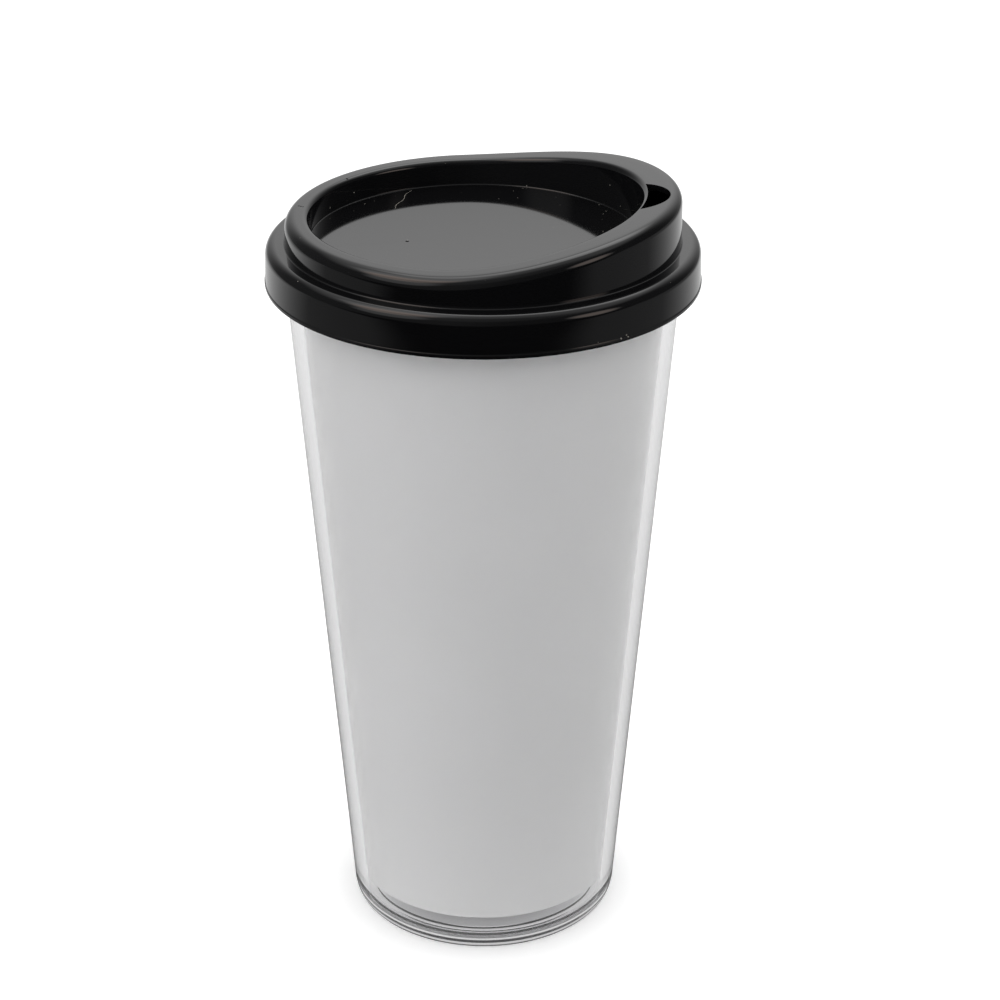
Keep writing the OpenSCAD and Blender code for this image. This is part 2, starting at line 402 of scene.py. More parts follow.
PITS = (
    (-39.8, -0.7, 168.45, 0.25), (-39.3, -0.9, 168.45, 0.25), (-38.8, -1.1, 168.45, 0.22), (-32.8, 18.9, 168.4, 0.3),
)
# The fibre on the recess floor: from and to along Y, its slope and place in X, its waves and its half width.
FIBRE_FROM = 16.5
FIBRE_TO = 29.2
FIBRE_SLOPE = 0.13
FIBRE_X = -24.05
FIBRE_WAVES = 900.0
FIBRE_WAVE_W = 0.25
FIBRE_HALF_W = 0.07
ON_FLOOR = 0.1


def spot_mask(group, position, spots, row):
    """A mask that is 1 within each of the small round spots."""
    mask = None
    for i, (x, y, z, r) in enumerate(spots):
        away = add_node(group, "ShaderNodeVectorMath", (-600, row - 160 * i), operation="DISTANCE")
        away.inputs[1].default_value = (x * MM, y * MM, z * MM)
        near = add_node(group, "ShaderNodeMapRange", (-400, row - 160 * i), {"To Min": 1.0, "To Max": 0.0})
        near.inputs["From Min"].default_value = 0.6 * r * MM
        near.inputs["From Max"].default_value = 1.4 * r * MM
        group.links.new(position, away.inputs[0])
        group.links.new(away.outputs["Value"], near.inputs["Value"])
        if mask is None:
            mask = near.outputs["Result"]
        else:
            most = add_node(group, "ShaderNodeMath", (-200, row - 160 * i), operation="MAXIMUM")
            group.links.new(mask, most.inputs[0])
            group.links.new(near.outputs["Result"], most.inputs[1])
            mask = most.outputs[0]
    return mask


def fibre_mask(group, position):
    """A fine wavy fibre that lies on the recess floor, as a mask."""
    split = add_node(group, "ShaderNodeSeparateXYZ", (-1400, 800))
    along = add_node(group, "ShaderNodeMath", (-1200, 800), operation="MULTIPLY")
    along.inputs[1].default_value = FIBRE_WAVES
    wave = add_node(group, "ShaderNodeMath", (-1000, 800), operation="SINE")
    path = add_node(group, "ShaderNodeMath", (-1000, 600), operation="MULTIPLY_ADD")
    path.inputs[1].default_value = FIBRE_SLOPE
    path.inputs[2].default_value = FIBRE_X * MM
    bent = add_node(group, "ShaderNodeMath", (-800, 700), operation="MULTIPLY_ADD")
    bent.inputs[1].default_value = FIBRE_WAVE_W * MM
    off = add_node(group, "ShaderNodeMath", (-600, 700), operation="COMPARE")
    off.inputs[2].default_value = FIBRE_HALF_W * MM
    length = add_node(group, "ShaderNodeMath", (-800, 900), operation="COMPARE")
    length.inputs[1].default_value = (FIBRE_FROM + FIBRE_TO) / 2 * MM
    length.inputs[2].default_value = (FIBRE_TO - FIBRE_FROM) / 2 * MM
    low = add_node(group, "ShaderNodeMath", (-800, 1100), operation="COMPARE")
    low.inputs[1].default_value = FLOOR_Z * MM
    low.inputs[2].default_value = ON_FLOOR * MM
    both = add_node(group, "ShaderNodeMath", (-400, 800), operation="MULTIPLY")
    fibre = add_node(group, "ShaderNodeMath", (-200, 900), operation="MULTIPLY")
    group.links.new(position, split.inputs["Vector"])
    group.links.new(split.outputs["Y"], along.inputs[0])
    group.links.new(along.outputs[0], wave.inputs[0])
    group.links.new(split.outputs["Y"], path.inputs[0])
    group.links.new(wave.outputs[0], bent.inputs[0])
    group.links.new(path.outputs[0], bent.inputs[2])
    group.links.new(split.outputs["X"], off.inputs[0])
    group.links.new(bent.outputs[0], off.inputs[1])
    group.links.new(split.outputs["Y"], length.inputs[0])
    group.links.new(split.outputs["Z"], low.inputs[0])
    group.links.new(off.outputs[0], both.inputs[0])
    group.links.new(length.outputs[0], both.inputs[1])
    group.links.new(both.outputs[0], fibre.inputs[0])
    group.links.new(low.outputs[0], fibre.inputs[1])
    return fibre.outputs[0]


def marks_group():
    """The lid's few specks and fibre, and its dark pits, as two masks."""
    group, given, out = new_group(
        "lid_marks", [("Position", VECTOR, None)], [("Light", VALUE), ("Dark", VALUE)]
    )
    specks = spot_mask(group, given["Position"], SPECKS, 400)
    most = add_node(group, "ShaderNodeMath", (100, 400), operation="MAXIMUM")
    group.links.new(specks, most.inputs[0])
    group.links.new(fibre_mask(group, given["Position"]), most.inputs[1])
    group.links.new(most.outputs[0], out["Light"])
    group.links.new(spot_mask(group, given["Position"], PITS, -3600), out["Dark"])
    return group


SCRATCHES = scratch_group()
DUST = dust_group()
MARKS = marks_group()


def black_plastic():
    """Glossy black moulded plastic, lightly scratched and dusty."""
    material, tree, shader, position = new_material("glossy_black_plastic", Roughness=0.05, IOR=1.56)
    scratches = place_group(tree, SCRATCHES, (-900, 200), {"Scale": 260.0, "Share": 0.1})
    dust = place_group(tree, DUST, (-900, -100), {"Scale": 700.0, "Speck": 0.1})
    marks = place_group(tree, MARKS, (-900, -250))
    light = add_node(tree, "ShaderNodeMath", (-650, -100), operation="MAXIMUM")
    rough = add_node(tree, "ShaderNodeMath", (-200, -300), operation="MAXIMUM")
    haze = add_node(tree, "ShaderNodeTexNoise", (-900, -400), {"Scale": 45.0, "Detail": 5.0})
    colour = add_node(tree, "ShaderNodeMix", (-400, 0), data_type="RGBA")
    colour.inputs["A"].default_value = (0.005, 0.005, 0.0055, 1)
    colour.inputs["B"].default_value = (0.30, 0.28, 0.25, 1)
    roughness = add_node(tree, "ShaderNodeMapRange", (-400, -300), {"To Min": 0.04, "To Max": 0.08})
    bump = add_node(tree, "ShaderNodeBump", (-400, 300), {"Strength": 0.12, "Distance": 0.02 * MM}, invert=True)
    for made in (scratches, dust, marks):
        tree.links.new(position, made.inputs["Position"])
    tree.links.new(position, haze.inputs["Vector"])
    tree.links.new(dust.outputs["Mask"], light.inputs[0])
    tree.links.new(marks.outputs["Light"], light.inputs[1])
    tree.links.new(light.outputs[0], colour.inputs["Factor"])
    tree.links.new(marks.outputs["Dark"], rough.inputs[1])
    tree.links.new(roughness.outputs["Result"], rough.inputs[0])
    tree.links.new(haze.outputs["Fac"], roughness.inputs["Value"])
    tree.links.new(scratches.outputs["Mask"], bump.inputs["Height"])
    tree.links.new(colour.outputs["Result"], shader.inputs["Base Color"])
    tree.links.new(rough.outputs[0], shader.inputs["Roughness"])
    tree.links.new(bump.outputs["Normal"], shader.inputs["Normal"])
    return material


# The welded faces at the seam are matt, within this height in millimetres of it.
WELD_REACH = 0.05
WELD_ROUGHNESS = 0.35


def clear_plastic(name, tint):
    """Clear polished plastic with a faint flow waviness from moulding and a few hairline scratches."""
    material, tree, shader, position = new_material(name, Transmission_Weight=1.0, IOR=1.5, Roughness=0.02)
    scratches = place_group(tree, SCRATCHES, (-900, 200), {"Scale": 180.0, "Share": 0.06})
    flow = add_node(tree, "ShaderNodeTexNoise", (-900, -200), {"Scale": 18.0, "Detail": 2.0})
    colour = add_node(tree, "ShaderNodeMix", (-400, 0), data_type="RGBA")
    colour.inputs["A"].default_value = (*tint, 1)
    colour.inputs["B"].default_value = (*[c * 0.985 for c in tint], 1)
    roughness = add_node(tree, "ShaderNodeMapRange", (-400, -300), {"To Min": 0.02, "To Max": 0.12})
    bump = add_node(tree, "ShaderNodeBump", (-400, 300), {"Strength": 0.05, "Distance": 0.05 * MM})
    tree.links.new(position, scratches.inputs["Position"])
    tree.links.new(position, flow.inputs["Vector"])
    tree.links.new(flow.outputs["Fac"], colour.inputs["Factor"])
    tree.links.new(flow.outputs["Fac"], bump.inputs["Height"])
    tree.links.new(scratches.outputs["Mask"], roughness.inputs["Value"])
    height = add_node(tree, "ShaderNodeSeparateXYZ", (-900, -500))
    weld = add_node(tree, "ShaderNodeMath", (-650, -500), operation="COMPARE")
    weld.inputs[1].default_value = FLANGE_T * MM
    weld.inputs[2].default_value = WELD_REACH * MM
    matt = add_node(tree, "ShaderNodeMath", (-400, -500), operation="MULTIPLY")
    matt.inputs[1].default_value = WELD_ROUGHNESS
    both = add_node(tree, "ShaderNodeMath", (-200, -300), operation="MAXIMUM")
    tree.links.new(position, height.inputs["Vector"])
    tree.links.new(height.outputs["Z"], weld.inputs[0])
    tree.links.new(weld.outputs[0], matt.inputs[0])
    tree.links.new(roughness.outputs["Result"], both.inputs[0])
    tree.links.new(matt.outputs[0], both.inputs[1])
    tree.links.new(colour.outputs["Result"], shader.inputs["Base Color"])
    tree.links.new(both.outputs[0], shader.inputs["Roughness"])
    tree.links.new(bump.outputs["Normal"], shader.inputs["Normal"])
    return material


def white_card():
    """Smooth white card with faint fibres."""
    material, tree, shader, position = new_material("white_card", Roughness=0.8)
    fibres = add_node(tree, "ShaderNodeTexNoise", (-900, 0), {"Scale": 900.0, "Detail": 6.0})
    cloud = add_node(tree, "ShaderNodeTexNoise", (-900, -300), {"Scale": 30.0, "Detail": 2.0})
    both = add_node(tree, "ShaderNodeMath", (-650, -100), operation="MULTIPLY")
    colour = add_node(tree, "ShaderNodeMix", (-400, 0), data_type="RGBA")
    colour.inputs["A"].default_value = (0.80, 0.80, 0.795, 1)
    colour.inputs["B"].default_value = (0.87, 0.87, 0.87, 1)
    bump = add_node(tree, "ShaderNodeBump", (-400, 300), {"Strength": 0.15, "Distance": 0.02 * MM})
    tree.links.new(position, fibres.inputs["Vector"])
    tree.links.new(position, cloud.inputs["Vector"])
    tree.links.new(fibres.outputs["Fac"], both.inputs[0])
    tree.links.new(cloud.outputs["Fac"], both.inputs[1])
    tree.links.new(both.outputs[0], colour.inputs["Factor"])
    tree.links.new(fibres.outputs["Fac"], bump.inputs["Height"])
    tree.links.new(colour.outputs["Result"], shader.inputs["Base Color"])
    tree.links.new(bump.outputs["Normal"], shader.inputs["Normal"])
    return material


def white_plastic():
    """White moulded plastic with fine scratches, as the inside of a cup gets."""
    material, tree, shader, position = new_material("white_plastic", Roughness=0.25, IOR=1.5)
    scratches = place_group(tree, SCRATCHES, (-900, 200), {"Scale": 150.0, "Share": 0.1})
    cloud = add_node(tree, "ShaderNodeTexNoise", (-900, -200), {"Scale": 25.0, "Detail": 3.0})
    colour = add_node(tree, "ShaderNodeMix", (-400, 0), data_type="RGBA")
    colour.inputs["A"].default_value = (0.80, 0.80, 0.79, 1)
    colour.inputs["B"].default_value = (0.84, 0.84, 0.835, 1)
    roughness = add_node(tree, "ShaderNodeMapRange", (-400, -300), {"To Min": 0.22, "To Max": 0.45})
    bump = add_node(tree, "ShaderNodeBump", (-400, 300), {"Strength": 0.1, "Distance": 0.02 * MM}, invert=True)
    tree.links.new(position, scratches.inputs["Position"])
    tree.links.new(position, cloud.inputs["Vector"])
    tree.links.new(cloud.outputs["Fac"], colour.inputs["Factor"])
    tree.links.new(scratches.outputs["Mask"], roughness.inputs["Value"])
    tree.links.new(scratches.outputs["Mask"], bump.inputs["Height"])
    tree.links.new(colour.outputs["Result"], shader.inputs["Base Color"])
    tree.links.new(roughness.outputs["Result"], shader.inputs["Roughness"])
    tree.links.new(bump.outputs["Normal"], shader.inputs["Normal"])
    return material


# The clear base plug and the clear shell meet at the seam with a hair's width between them.
SEAM_AIR = 0.03


def make_base_plug():
    spigot_r = shell_in(FLANGE_T) - PLUG_GAP
    spigot_top = FLANGE_T + SPIGOT_H
    ring_in = shell_r(0) - FOOT_ROUND - FOOT_RING_W
    top = FLANGE_T - SEAM_AIR
    profile = [(0, FLANGE_T - PLUG_FLOOR), (ring_in - FOOT_RING_SLOPE, FLANGE_T - PLUG_FLOOR)]
    profile += [(ring_in, 0)]
    profile += arc(shell_r(0) - FOOT_ROUND, FOOT_ROUND, FOOT_ROUND, -90, 0, 12)
    profile += [(shell_r(FLANGE_T), top - SEAM_BEVEL), (shell_r(FLANGE_T) - SEAM_BEVEL, top)]
    profile += [(spigot_r, top), (spigot_r, spigot_top - LEAD_IN), (spigot_r - LEAD_IN, spigot_top)]
    profile += [(spigot_r - SPIGOT_WALL, spigot_top), (spigot_r - SPIGOT_WALL, FLANGE_T), (0, FLANGE_T)]
    return turned("clear_base_plug", profile)


def make_outer_shell():
    profile = [(shell_in(FLANGE_T), FLANGE_T), (shell_r(FLANGE_T) - SEAM_BEVEL, FLANGE_T)]
    profile += [(shell_r(FLANGE_T + SEAM_BEVEL), FLANGE_T + SEAM_BEVEL), (SHELL_TOP_R, SHELL_TOP_Z)]
    profile += [(shell_in(SHELL_TOP_Z), SHELL_TOP_Z)]
    return turned("clear_outer_shell", profile)


def make_card():
    top = RIB_LOW_Z - CARD_TOP_GAP
    outer = [(shell_in(z) - CARD_GAP, z) for z in (CARD_LOW_Z, top)]
    sleeve, lap = (
        turned(name, [(r - inset, z) for r, z in outer] + [(r - inset - CARD_T, z) for r, z in reversed(outer)])
        for name, inset in (("card_sleeve", 0.0), ("card_lap", CARD_T))
    )
    middle = (CARD_LOW_Z + top) / 2
    reach = SHELL_TOP_R + 2
    cut(sleeve, block("slit", (CARD_SLIT, reach, 2 * top), (0, reach / 2, middle)))
    cut(lap, block("lap_bounds", (CARD_LAP, reach, 2 * top), (0, reach / 2, middle)), "INTERSECT")
    select_only(sleeve)
    lap.select_set(True)
    bpy.ops.object.join()
    return sleeve


def make_inner_cup():
    corner_x = cup_in(CUP_FLOOR_Z) - CUP_CORNER_R
    corner_z = CUP_FLOOR_Z + CUP_CORNER_R
    rib_r = shell_in(RIB_LOW_Z) - RIB_GAP
    profile = [(0, CUP_FLOOR_Z - CUP_WALL)]
    profile += arc(corner_x, corner_z, CUP_CORNER_R + CUP_WALL, -90, 0, 16)
    profile += [(cup_in(RIB_LOW_Z - RIB_TAPER) + CUP_WALL, RIB_LOW_Z - RIB_TAPER), (rib_r, RIB_LOW_Z)]
    profile += [(rib_r, SHELL_TOP_Z), (RIM_R, SHELL_TOP_Z)]
    profile += arc(RIM_R - RIM_ROUND, RIM_H - RIM_ROUND, RIM_ROUND, 0, 90, 8)
    profile += [(RIM_R - COLLAR_W, RIM_H), (RIM_R - COLLAR_W, STEP_Z), (MOUTH_R, STEP_Z)]
    profile += arc(corner_x, corner_z, CUP_CORNER_R, 0, -90, 16)
    profile += [(0, CUP_FLOOR_Z)]
    return turned("white_inner_cup", profile)


def lid_profile():
    """The lid's section on its low side, from the middle of the floor's underside round to its top."""
    under = LID_WALL + INNER_ROUND
    wall_in = RECESS_R + RECESS_WALL
    recess_top = RECESS_R + DRAFT * (LOW_TOP_Z - FLOOR_Z)
    ring_top = RING_R - DRAFT * RING_LOW_H
    points = [(0, FLOOR_LOW_Z), (wall_in - RECESS_BEVEL, FLOOR_LOW_Z), (wall_in, FLOOR_LOW_Z + RECESS_BEVEL)]
    points += [(recess_top + RECESS_WALL, LOW_TOP_Z - under)]
    points += [(recess_top + RECESS_WALL + INNER_ROUND, LOW_TOP_Z - LID_WALL)]
    points += [(ring_top - LID_WALL - INNER_ROUND, LOW_TOP_Z - LID_WALL), (ring_top - LID_WALL, LOW_TOP_Z - under)]
    points += [(RING_IN_R, LEDGE_Z), (RING_IN_R, STEP_Z + LID_GAP)]
    points += [(RIM_R - COLLAR_W - LID_GAP, STEP_Z + LID_GAP), (RIM_R - COLLAR_W - LID_GAP, RIM_H)]
    points += [(skirt_in(RIM_H) - SKIRT_BEVEL, RIM_H), (skirt_in(RIM_H - SKIRT_BEVEL), RIM_H - SKIRT_BEVEL)]
    points += [(skirt_in(BEAD_Z + BEAD_ROUND), BEAD_Z + BEAD_ROUND)]
    points += arc(BEAD_R + BEAD_ROUND, BEAD_Z, BEAD_ROUND, 90, 270, 12)
    points += [(skirt_in(BEAD_Z - BEAD_ROUND), BEAD_Z - BEAD_ROUND)]
    points += [(skirt_in(BRIM_LOW_Z + LEAD_IN), BRIM_LOW_Z + LEAD_IN), (skirt_in(BRIM_LOW_Z) + LEAD_IN, BRIM_LOW_Z)]
    points += arc(BRIM_R - EDGE_ROUND, BRIM_LOW_Z + EDGE_ROUND, EDGE_ROUND, -90, 0, 8)
    points += arc(BRIM_R - STEP_ROUND, BRIM_LOW_Z + STEP_H - STEP_ROUND, STEP_ROUND, 0, 75, 5)
    points += [(BRIM_R - STEP_W, BRIM_LOW_Z + STEP_H + h) for h in STEP_LOOPS]
    points += arc(BRIM_TOP_R - SHOULDER_ROUND, LEDGE_Z - SHOULDER_ROUND, SHOULDER_ROUND, 0, 90, 14)
    points += arc(RING_R + RING_FOOT_ROUND, LEDGE_Z + RING_FOOT_ROUND, RING_FOOT_ROUND, 270, 180, 8)
    points += arc(ring_top - LIP_ROUND, LOW_TOP_Z - LIP_ROUND, LIP_ROUND, 0, 90, 10)
    land = [ring_top - LIP_ROUND, recess_top + INNER_ROUND]
    points += [(land[0] + (land[1] - land[0]) * k / 4, LOW_TOP_Z) for k in (1, 2, 3)]
    points += arc(recess_top + INNER_ROUND, LOW_TOP_Z - INNER_ROUND, INNER_ROUND, 90, 180, 8)
    points += arc(RECESS_R - RECESS_ROUND, FLOOR_Z + RECESS_ROUND, RECESS_ROUND, 0, -90, 8)
    points += [(0, FLOOR_Z)]
    return points


def rise(x):
    """Extra height of the ring's top at the place x: an S-curve up to the spout."""
    share = min(1.0, max(0.0, (x - RISE_START) / RISE_RUN))
    return RING_RISE * (1 - math.cos(math.pi * share)) / 2


def raise_spout(lid):
    """Moves the recess off centre and lifts the ring's top along the S-curve."""
    land_out = RING_R - DRAFT * RING_LOW_H - LIP_ROUND
    land_in = RECESS_R + DRAFT * (LOW_TOP_Z - FLOOR_Z) + INNER_ROUND
    lift_from = LEDGE_Z + RING_FOOT_ROUND
    lift_full = LOW_TOP_Z - LIP_ROUND
    for vertex in lid.data.vertices:
        x, y, z = (c / MM for c in vertex.co)
        r = math.hypot(x, y)
        if r > RING_R - LID_WALL - INNER_ROUND and z < lift_from - 0.01:
            continue
        inward = min(1.0, max(0.0, (land_out - r) / (land_out - land_in)))
        x -= RECESS_OFF * inward
        lifted = min(1.0, max(0.0, (z - lift_from) / (lift_full - lift_from)))
        side = 2 * inward - 1
        up = rise(x) * lifted
        if r > 1:
            x += side * DRAFT * up * x / r
            y += side * DRAFT * up * y / r
        vertex.co = Vector((x, y, z + up)) * MM


def make_lid():
    lid = turned("black_lid", lid_profile())
    raise_spout(lid)
    hole_low = LEDGE_Z + RING_LOW_H / 2
    hole_top = SPOUT_TOP_Z + CUT_PAST
    hole = round_bar("hole", HOLE_ARC_R, hole_low, hole_top, HOLE_X + HOLE_W - HOLE_ARC_R, 0, HOLE_SIDES)
    inside = round_bar(
        "recess", HOLE_X + RECESS_OFF, hole_low - CUT_PAST, hole_top + CUT_PAST, -RECESS_OFF, 0, RECESS_SIDES
    )
    cut(hole, inside)
    cut(lid, hole)
    cut(lid, round_bar("vent", VENT_D / 2, FLOOR_LOW_Z - CUT_PAST, FLOOR_Z + CUT_PAST, VENT_X, VENT_Y, VENT_SIDES))
    return lid


CLEAR_SHELL = clear_plastic("clear_shell_plastic", (0.985, 0.985, 0.99))
CLEAR_BASE = clear_plastic("clear_base_plastic", (0.975, 0.972, 0.985))
BLACK = black_plastic()
CARD = white_card()
LINER = white_plastic()

stand_for(make_base_plug(), "base_plug", CLEAR_BASE)
stand_for(make_outer_shell(), "outer_shell", CLEAR_SHELL)
stand_for(make_card(), "card_insert", CARD)
stand_for(make_inner_cup(), "inner_cup", LINER)
stand_for(make_lid(), "lid", BLACK)


# Studio: a pale table that goes dark in front, a bright panel behind, a soft light high in front on the left.
FLOOR_HALF = 3.0
STUDIO_TURN = math.radians(-6.9)


def ramp(tree, place, source, low, high, first, last):
    """A value that goes smoothly from first to last while the source goes from low to high."""
    made = add_node(tree, "ShaderNodeMapRange", place, interpolation_type="SMOOTHSTEP")
    for label, value in zip(("From Min", "From Max", "To Min", "To Max"), (low, high, first, last)):
        made.inputs[label].default_value = value
    tree.links.new(source, made.inputs["Value"])
    return made.outputs["Result"]


def combine(tree, place, operation, first, *others):
    """The values joined one after the other by the operation; each is a socket or a number."""
    result = first
    for i, other in enumerate(others):
        made = add_node(tree, "ShaderNodeMath", (place[0] + 180 * i, place[1]), operation=operation)
        for socket, value in zip(made.inputs, (result, other)):
            if isinstance(value, (int, float)):
                socket.default_value = value
            else:
                tree.links.new(value, socket)
        result = made.outputs[0]
    return result


def choose(tree, place, switch, off, on):
    """One of two values: the second where the switch is 1."""
    made = add_node(tree, "ShaderNodeMix", place, data_type="FLOAT")
    tree.links.new(switch, made.inputs["Factor"])
    for label, value in (("A", off), ("B", on)):
        if isinstance(value, (int, float)):
            made.inputs[label].default_value = value
        else:
            tree.links.new(value, made.inputs[label])
    return made.outputs["Result"]


def studio_axes(tree, kind):
    """Coordinates turned so that Y points away from the camera."""
    coords = add_node(tree, "ShaderNodeTexCoord", (-1600, 0))
    turn = add_node(tree, "ShaderNodeMapping", (-1400, 0), {"Rotation": (0, 0, STUDIO_TURN)})
    split = add_node(tree, "ShaderNodeSeparateXYZ", (-1200, 0))
    tree.links.new(coords.outputs[kind], turn.inputs["Vector"])
    tree.links.new(turn.outputs["Vector"], split.inputs["Vector"])
    return turn.outputs["Vector"], split.outputs


# How bright the table is: where the camera sees it, under the cup's edge, where a painted shadow dims it on top of
# its real shading, and around it; in gloss, behind and at the sides;
# through clear plastic; and under the cup, as a painted shade, and in front as a share of that. It lies just clear
# of the foot.
FLOOR_LIFT = 0.01
FLOOR_SEEN_WITH_PAINTED_SHADOW = (0.36, 0.56)
FLOOR_IN_GLOSS = 0.8
FLOOR_ASIDE = 0.18
FLOOR_THROUGH_CLEAR = 0.92
FLOOR_PAINTED_SHADE_UNDER_CUP = 0.26
FLOOR_IN_FRONT = 0.03


def make_floor():
    deselect_all()
    bpy.ops.mesh.primitive_plane_add(size=2 * FLOOR_HALF, location=(0, 0, FLOOR_LIFT * MM))
    floor = bpy.context.object
    floor.name = "pale_table"
    material = bpy.data.materials.new("pale_table")
    material.use_nodes = True
    tree = material.node_tree
    shader = tree.nodes["Principled BSDF"]
    shader.inputs["Roughness"].default_value = 0.9
    shader.inputs["Specular IOR Level"].default_value = 0.0
    shader.inputs["Emission Color"].default_value = (1, 1, 1, 1)
    place, axes = studio_axes(tree, "Object")
    distance = add_node(tree, "ShaderNodeVectorMath", (-1200, -300), operation="LENGTH")
    tree.links.new(place, distance.inputs[0])
    # Painted shade: the table's glow drops to a share under the cup and around its foot, standing in for shadow. It
    # shows through the clear base and in the light that falls onto the card.
    painted_shadow_under_cup = ramp(tree, (-1000, -300), distance.outputs["Value"], 0.014, 0.038, FLOOR_PAINTED_SHADE_UNDER_CUP, 1.0)
    near = ramp(tree, (-1000, 600), axes["Y"], -0.13, 0.07, FLOOR_IN_FRONT, 1.0)
    through = combine(tree, (-760, -300), "MULTIPLY", painted_shadow_under_cup, FLOOR_THROUGH_CLEAR)
    onto_card = combine(tree, (-560, -600), "MULTIPLY", near, through)
    deep = ramp(tree, (-1000, 0), axes["Y"], -0.10, 0.42, 0.0, 1.0)
    on_right = ramp(tree, (-1000, 300), axes["X"], 0.2, 0.8, 1.0, 0.25)
    on_left = ramp(tree, (-1000, 1200), axes["X"], -1.2, -0.3, 0.5, 1.0)
    back = combine(tree, (-760, 0), "MULTIPLY", deep, on_right, on_left, FLOOR_IN_GLOSS)
    aside = combine(tree, (-1200, 900), "ABSOLUTE", axes["X"], 0.0)
    sides = ramp(tree, (-1000, 900), aside, 0.18, 0.42, 0.0, FLOOR_ASIDE)
    from_front = ramp(tree, (-1000, 1500), axes["Y"], -0.45, -0.25, 0.0, 1.0)
    front = combine(tree, (-760, 900), "MULTIPLY", sides, from_front)
    in_gloss = combine(tree, (-500, 300), "MAXIMUM", back, front)
    light = add_node(tree, "ShaderNodeLightPath", (-400, -600))
    scattered = combine(tree, (-400, -900), "GREATER_THAN", light.outputs["Diffuse Depth"], 0.5)
    refracted = choose(tree, (-300, -500), scattered, through, onto_card)
    bounced = choose(tree, (-300, -100), light.outputs["Is Glossy Ray"], onto_card, in_gloss)
    unseen = choose(tree, (-100, -100), light.outputs["Is Transmission Ray"], bounced, refracted)
    # Painted shadow: where the camera sees the table, its glow is lower close to the foot, on top of the real shadow
    # in its diffuse shading.
    seen = ramp(tree, (-1000, -600), distance.outputs["Value"], 0.030, 0.046, *FLOOR_SEEN_WITH_PAINTED_SHADOW)
    glow = choose(tree, (100, -200), light.outputs["Is Camera Ray"], unseen, seen)
    colour = add_node(tree, "ShaderNodeMix", (-100, 200), data_type="RGBA")
    colour.inputs["A"].default_value = (0, 0, 0, 1)
    colour.inputs["B"].default_value = (0.9, 0.9, 0.9, 1)
    tree.links.new(light.outputs["Is Camera Ray"], colour.inputs["Factor"])
    tree.links.new(colour.outputs["Result"], shader.inputs["Base Color"])
    tree.links.new(glow, shader.inputs["Emission Strength"])
    floor.data.materials.append(material)


# Soft round lights: the way to the middle, the cosine of the angle at the edge and where it is full, the strength.
LIGHT_BEHIND = ((0.11, 0.53, 0.84), 0.91, 0.985, 1.1)
LIGHT_LEFT = ((-0.50, -0.12, 0.86), 0.94, 0.985, 1.0)
LIGHT_RIGHT = ((0.83, -0.50, 0.24), 0.955, 0.995, 1.4)
FAR_LEFT = ((-0.39, 0.10, 0.91), 0.93, 0.99, 0.8)
LOW_LEFT = ((-0.65, -0.44, 0.62), 0.93, 0.98, 0.6)
SOFT_LIGHT = ((-0.45, -0.65, 0.62), 0.6, 0.85, 1.6)
WARM_TINT = (1.0, 0.84, 0.76, 1)

# The panel behind: its strength and that at its foot, how far it leans and narrows upwards, and its soft edge.
PANEL_BEHIND = 0.9
PANEL_FOOT = 0.55
PANEL_LEAN = 0.2
PANEL_TAPER = 0.25
PANEL_EDGE = (0.08, 0.9)

OVERHEAD = 0.5
OVERHEAD_IN_FRONT = 0.2
ROOM_IN_GLOSS = (0.09, 0.04)
DOME = 0.85
ROOM = 0.98
ROOM_BEHIND = 0.15
SIDE_FILL = (0.75, 1.5)


def lobe(tree, row, direction, light):
    """The glow of a soft round light in the direction."""
    way, edge, full, strength = light
    aim = add_node(tree, "ShaderNodeVectorMath", (-1000, row), operation="DOT_PRODUCT")
    aim.inputs[1].default_value = Vector(way).normalized()
    tree.links.new(direction, aim.inputs[0])
    return ramp(tree, (-800, row), aim.outputs["Value"], edge, full, 0.0, strength)


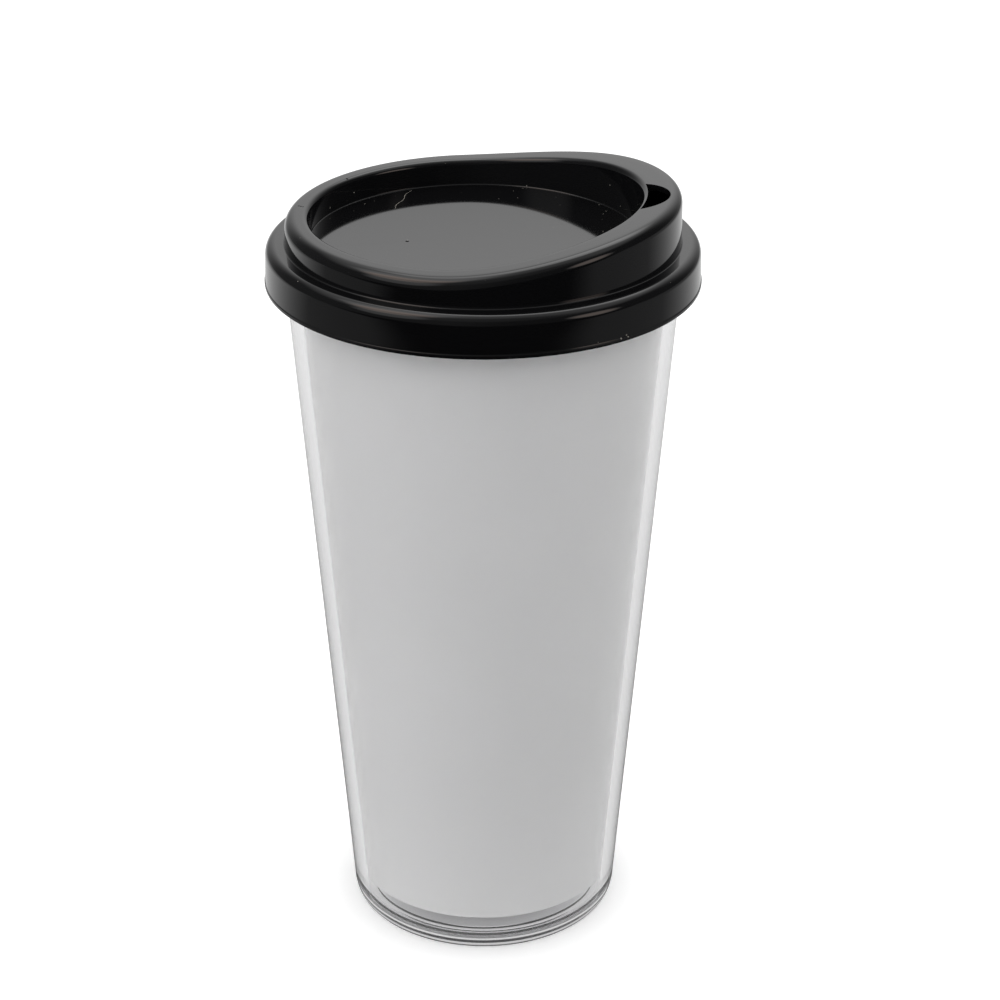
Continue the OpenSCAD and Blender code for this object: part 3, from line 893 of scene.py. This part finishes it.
def make_world():
    world = bpy.data.worlds.new("studio")
    bpy.context.scene.world = world
    world.use_nodes = True
    tree = world.node_tree
    background = tree.nodes["Background"]
    direction, axes = studio_axes(tree, "Generated")

    # What shows in gloss: a panel behind that is brightest high up, a light high on the left, two small warm
    # lights in front and a dim room.
    leant = combine(tree, (-2100, 300), "MULTIPLY", axes["Z"], PANEL_LEAN)
    aside = combine(tree, (-1500, 300), "ABSOLUTE", combine(tree, (-1900, 300), "SUBTRACT", axes["X"], leant), 0.0)
    taper = combine(tree, (-1900, 600), "MULTIPLY", axes["Z"], PANEL_TAPER)
    narrow = ramp(tree, (-800, 0), combine(tree, (-1200, 300), "ADD", aside, taper), *PANEL_EDGE, 1.0, 0.0)
    behind = ramp(tree, (-800, -250), axes["Y"], 0.1, 0.5, 0.0, 1.0)
    risen = ramp(tree, (-800, -500), axes["Z"], 0.0, 0.4, PANEL_FOOT, 1.0)
    panel = combine(tree, (-560, 0), "MULTIPLY", narrow, behind, risen, PANEL_BEHIND)
    high, left, right, far_left, low_left = (
        lobe(tree, -800 - 300 * i, direction, light)
        for i, light in enumerate((LIGHT_BEHIND, LIGHT_LEFT, LIGHT_RIGHT, FAR_LEFT, LOW_LEFT))
    )
    warm = combine(tree, (-560, -1400), "ADD", left, right)
    above = ramp(tree, (-800, -2300), axes["Z"], 0.55, 0.80, 0.0, OVERHEAD)
    in_front = ramp(tree, (-800, -2600), axes["Y"], -0.45, 0.0, OVERHEAD_IN_FRONT, 1.0)
    overhead = combine(tree, (-560, -2300), "MULTIPLY", above, in_front)
    room = ramp(tree, (-800, -2900), axes["X"], -0.3, 0.3, *ROOM_IN_GLOSS)
    in_gloss = combine(tree, (-100, -300), "ADD", panel, overhead, room, high, warm, far_left, low_left)

    # What lights the matt surfaces: a soft light high in front on the left, the room and a fill on each side.
    lamp = lobe(tree, 500, direction, SOFT_LIGHT)
    around = ramp(tree, (-800, 750), axes["Y"], -0.1, 0.35, ROOM, ROOM_BEHIND * ROOM)
    fill_left = ramp(tree, (-800, 1000), axes["X"], -0.8, -0.15, SIDE_FILL[0], 0.0)
    fill_right = ramp(tree, (-800, 1250), axes["X"], 0.15, 0.8, 0.0, SIDE_FILL[1])
    soft = combine(tree, (-100, 500), "ADD", lamp, around, fill_left, fill_right, panel)

    light = add_node(tree, "ShaderNodeLightPath", (-100, 0))
    bounced = choose(tree, (500, -100), light.outputs["Is Glossy Ray"], DOME, in_gloss)
    scattered = combine(tree, (300, 300), "GREATER_THAN", light.outputs["Diffuse Depth"], 0.5)
    refracted = choose(tree, (500, 300), scattered, FLOOR_THROUGH_CLEAR, soft)
    unseen = choose(tree, (700, 0), light.outputs["Is Transmission Ray"], bounced, refracted)
    seen = choose(tree, (900, 0), light.outputs["Is Camera Ray"], unseen, 1.0)
    tree.links.new(seen, background.inputs["Strength"])
    tint = add_node(tree, "ShaderNodeMix", (700, -400), data_type="RGBA")
    tint.inputs["A"].default_value = (1, 1, 1, 1)
    tint.inputs["B"].default_value = WARM_TINT
    glossy, transmitted = light.outputs["Is Glossy Ray"], light.outputs["Is Transmission Ray"]
    in_view = combine(tree, (300, -400), "SUBTRACT", glossy, transmitted)
    tree.links.new(combine(tree, (500, -400), "MULTIPLY", in_view, warm), tint.inputs["Factor"])
    tree.links.new(tint.outputs["Result"], background.inputs["Color"])


# Camera: a 90 mm lens, 25.6 degrees above the table, turned so that the spout lies a little to the front.
LENS = 90
CAMERA_TURN = math.radians(7.3)
CAMERA_YAW = math.radians(0.418)
CAMERA_DOWN = math.radians(25.638)
CAMERA_ROLL = math.radians(0.102)
CAMERA_BACK = 0.507
CAMERA_UP = 0.3438


def make_camera():
    data = bpy.data.cameras.new("camera")
    data.lens = LENS
    data.sensor_width = 36
    camera = bpy.data.objects.new("camera", data)
    bpy.context.scene.collection.objects.link(camera)
    place = Matrix.Rotation(CAMERA_TURN, 4, "Z") @ Matrix.Translation((0, -CAMERA_BACK, CAMERA_UP))
    aim = Matrix.Rotation(-CAMERA_YAW, 4, "Z") @ Matrix.Rotation(math.pi / 2 - CAMERA_DOWN, 4, "X")
    camera.matrix_world = place @ aim @ Matrix.Rotation(CAMERA_ROLL, 4, "Z")
    bpy.context.scene.camera = camera


make_floor()
make_world()
make_camera()
bpy.context.scene.view_settings.view_transform = "Standard"

deselect_all()
